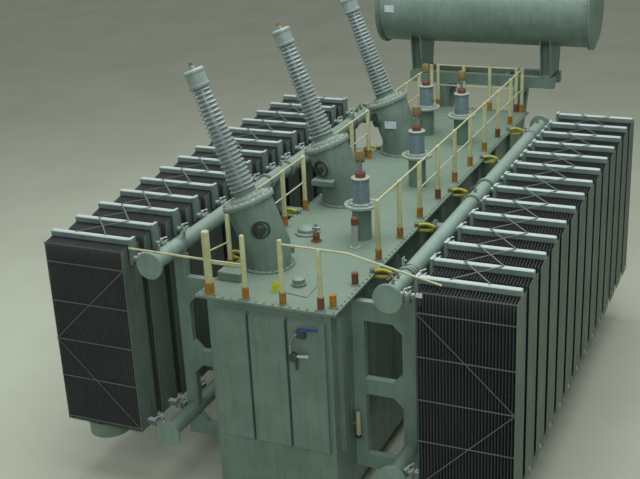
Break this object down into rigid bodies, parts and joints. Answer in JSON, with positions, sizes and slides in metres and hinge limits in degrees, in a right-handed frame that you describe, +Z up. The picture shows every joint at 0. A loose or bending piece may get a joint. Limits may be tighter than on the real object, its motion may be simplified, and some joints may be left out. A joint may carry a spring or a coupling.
{
  "type": "power transformer",
  "caption": "Large oil-filled power transformer: long tank with radiator banks on both sides, leaning high-voltage bushings on the cover and a drum conservator across the rear end.",
  "frame": {"origin": "on the floor, under the middle of the whole part's length and width", "axes": "+Z up; +Y along the tank from the radiators' front end towards the conservator; +X towards the low-voltage side's right-hand bank"},
  "size_m": [7.502, 12.26, 6.7954],
  "materials": {
    "tank_paint": "pale grey-green gloss paint on steel plate, dulled by shop dust",
    "radiator_paint": "grey-green paint on pressed sheet panels, dark between the panels",
    "porcelain": "glossy blue-grey glaze on porcelain sheds",
    "rail_paint": "cream paint on tube posts with worn orange-brown sleeves at the foot",
    "skid_paint": "dark grey-green paint on thick steel"
  },
  "bodies": {
    "root": {"skid_left": "skid_paint", "skid_right": "skid_paint", "tank": "tank_paint", "tank_cover": "tank_paint", "radiator_pair_left_1": "radiator_paint", "radiator_pair_left_2": "radiator_paint", "radiator_pair_left_3": "radiator_paint", "radiator_pair_left_4": "radiator_paint", "radiator_pair_left_5": "radiator_paint", "radiator_pair_left_6": "radiator_paint", "radiator_pair_left_7": "radiator_paint", "radiator_pair_right_1": "radiator_paint", "radiator_pair_right_2": "radiator_paint", "radiator_pair_right_3": "radiator_paint", "radiator_pair_right_4": "radiator_paint", "radiator_pair_right_5": "radiator_paint", "radiator_pair_right_6": "radiator_paint", "radiator_pair_right_7": "radiator_paint", "upper_collector_left": "tank_paint", "lower_collector_left": "tank_paint", "collector_bracket_left_front": "tank_paint", "collector_bracket_left_rear": "tank_paint", "fan_row_left": "tank_paint", "upper_collector_right": "tank_paint", "lower_collector_right": "tank_paint", "collector_bracket_right_front": "tank_paint", "collector_bracket_right_rear": "tank_paint", "fan_row_right": "tank_paint", "hv_turret_1": "tank_paint", "hv_bushing_1": "porcelain", "hv_turret_2": "tank_paint", "hv_bushing_2": "porcelain", "hv_turret_3": "tank_paint", "hv_bushing_3": "porcelain", "lv_bushing_1": "porcelain", "lv_bushing_2": "porcelain", "lv_bushing_3": "porcelain", "neutral_bushing": "porcelain", "conservator": "tank_paint", "conservator_beams": "tank_paint", "conservator_bracket_left": "tank_paint", "conservator_bracket_right": "tank_paint", "guard_rail_front": "rail_paint", "guard_rail_front_right": "rail_paint", "guard_rail_rear": "rail_paint", "guard_rail_right": "rail_paint", "guard_rail_left_1": "rail_paint", "guard_rail_left_2": "rail_paint", "guard_rail_left_3": "rail_paint"}
  },
  "joints": []
}
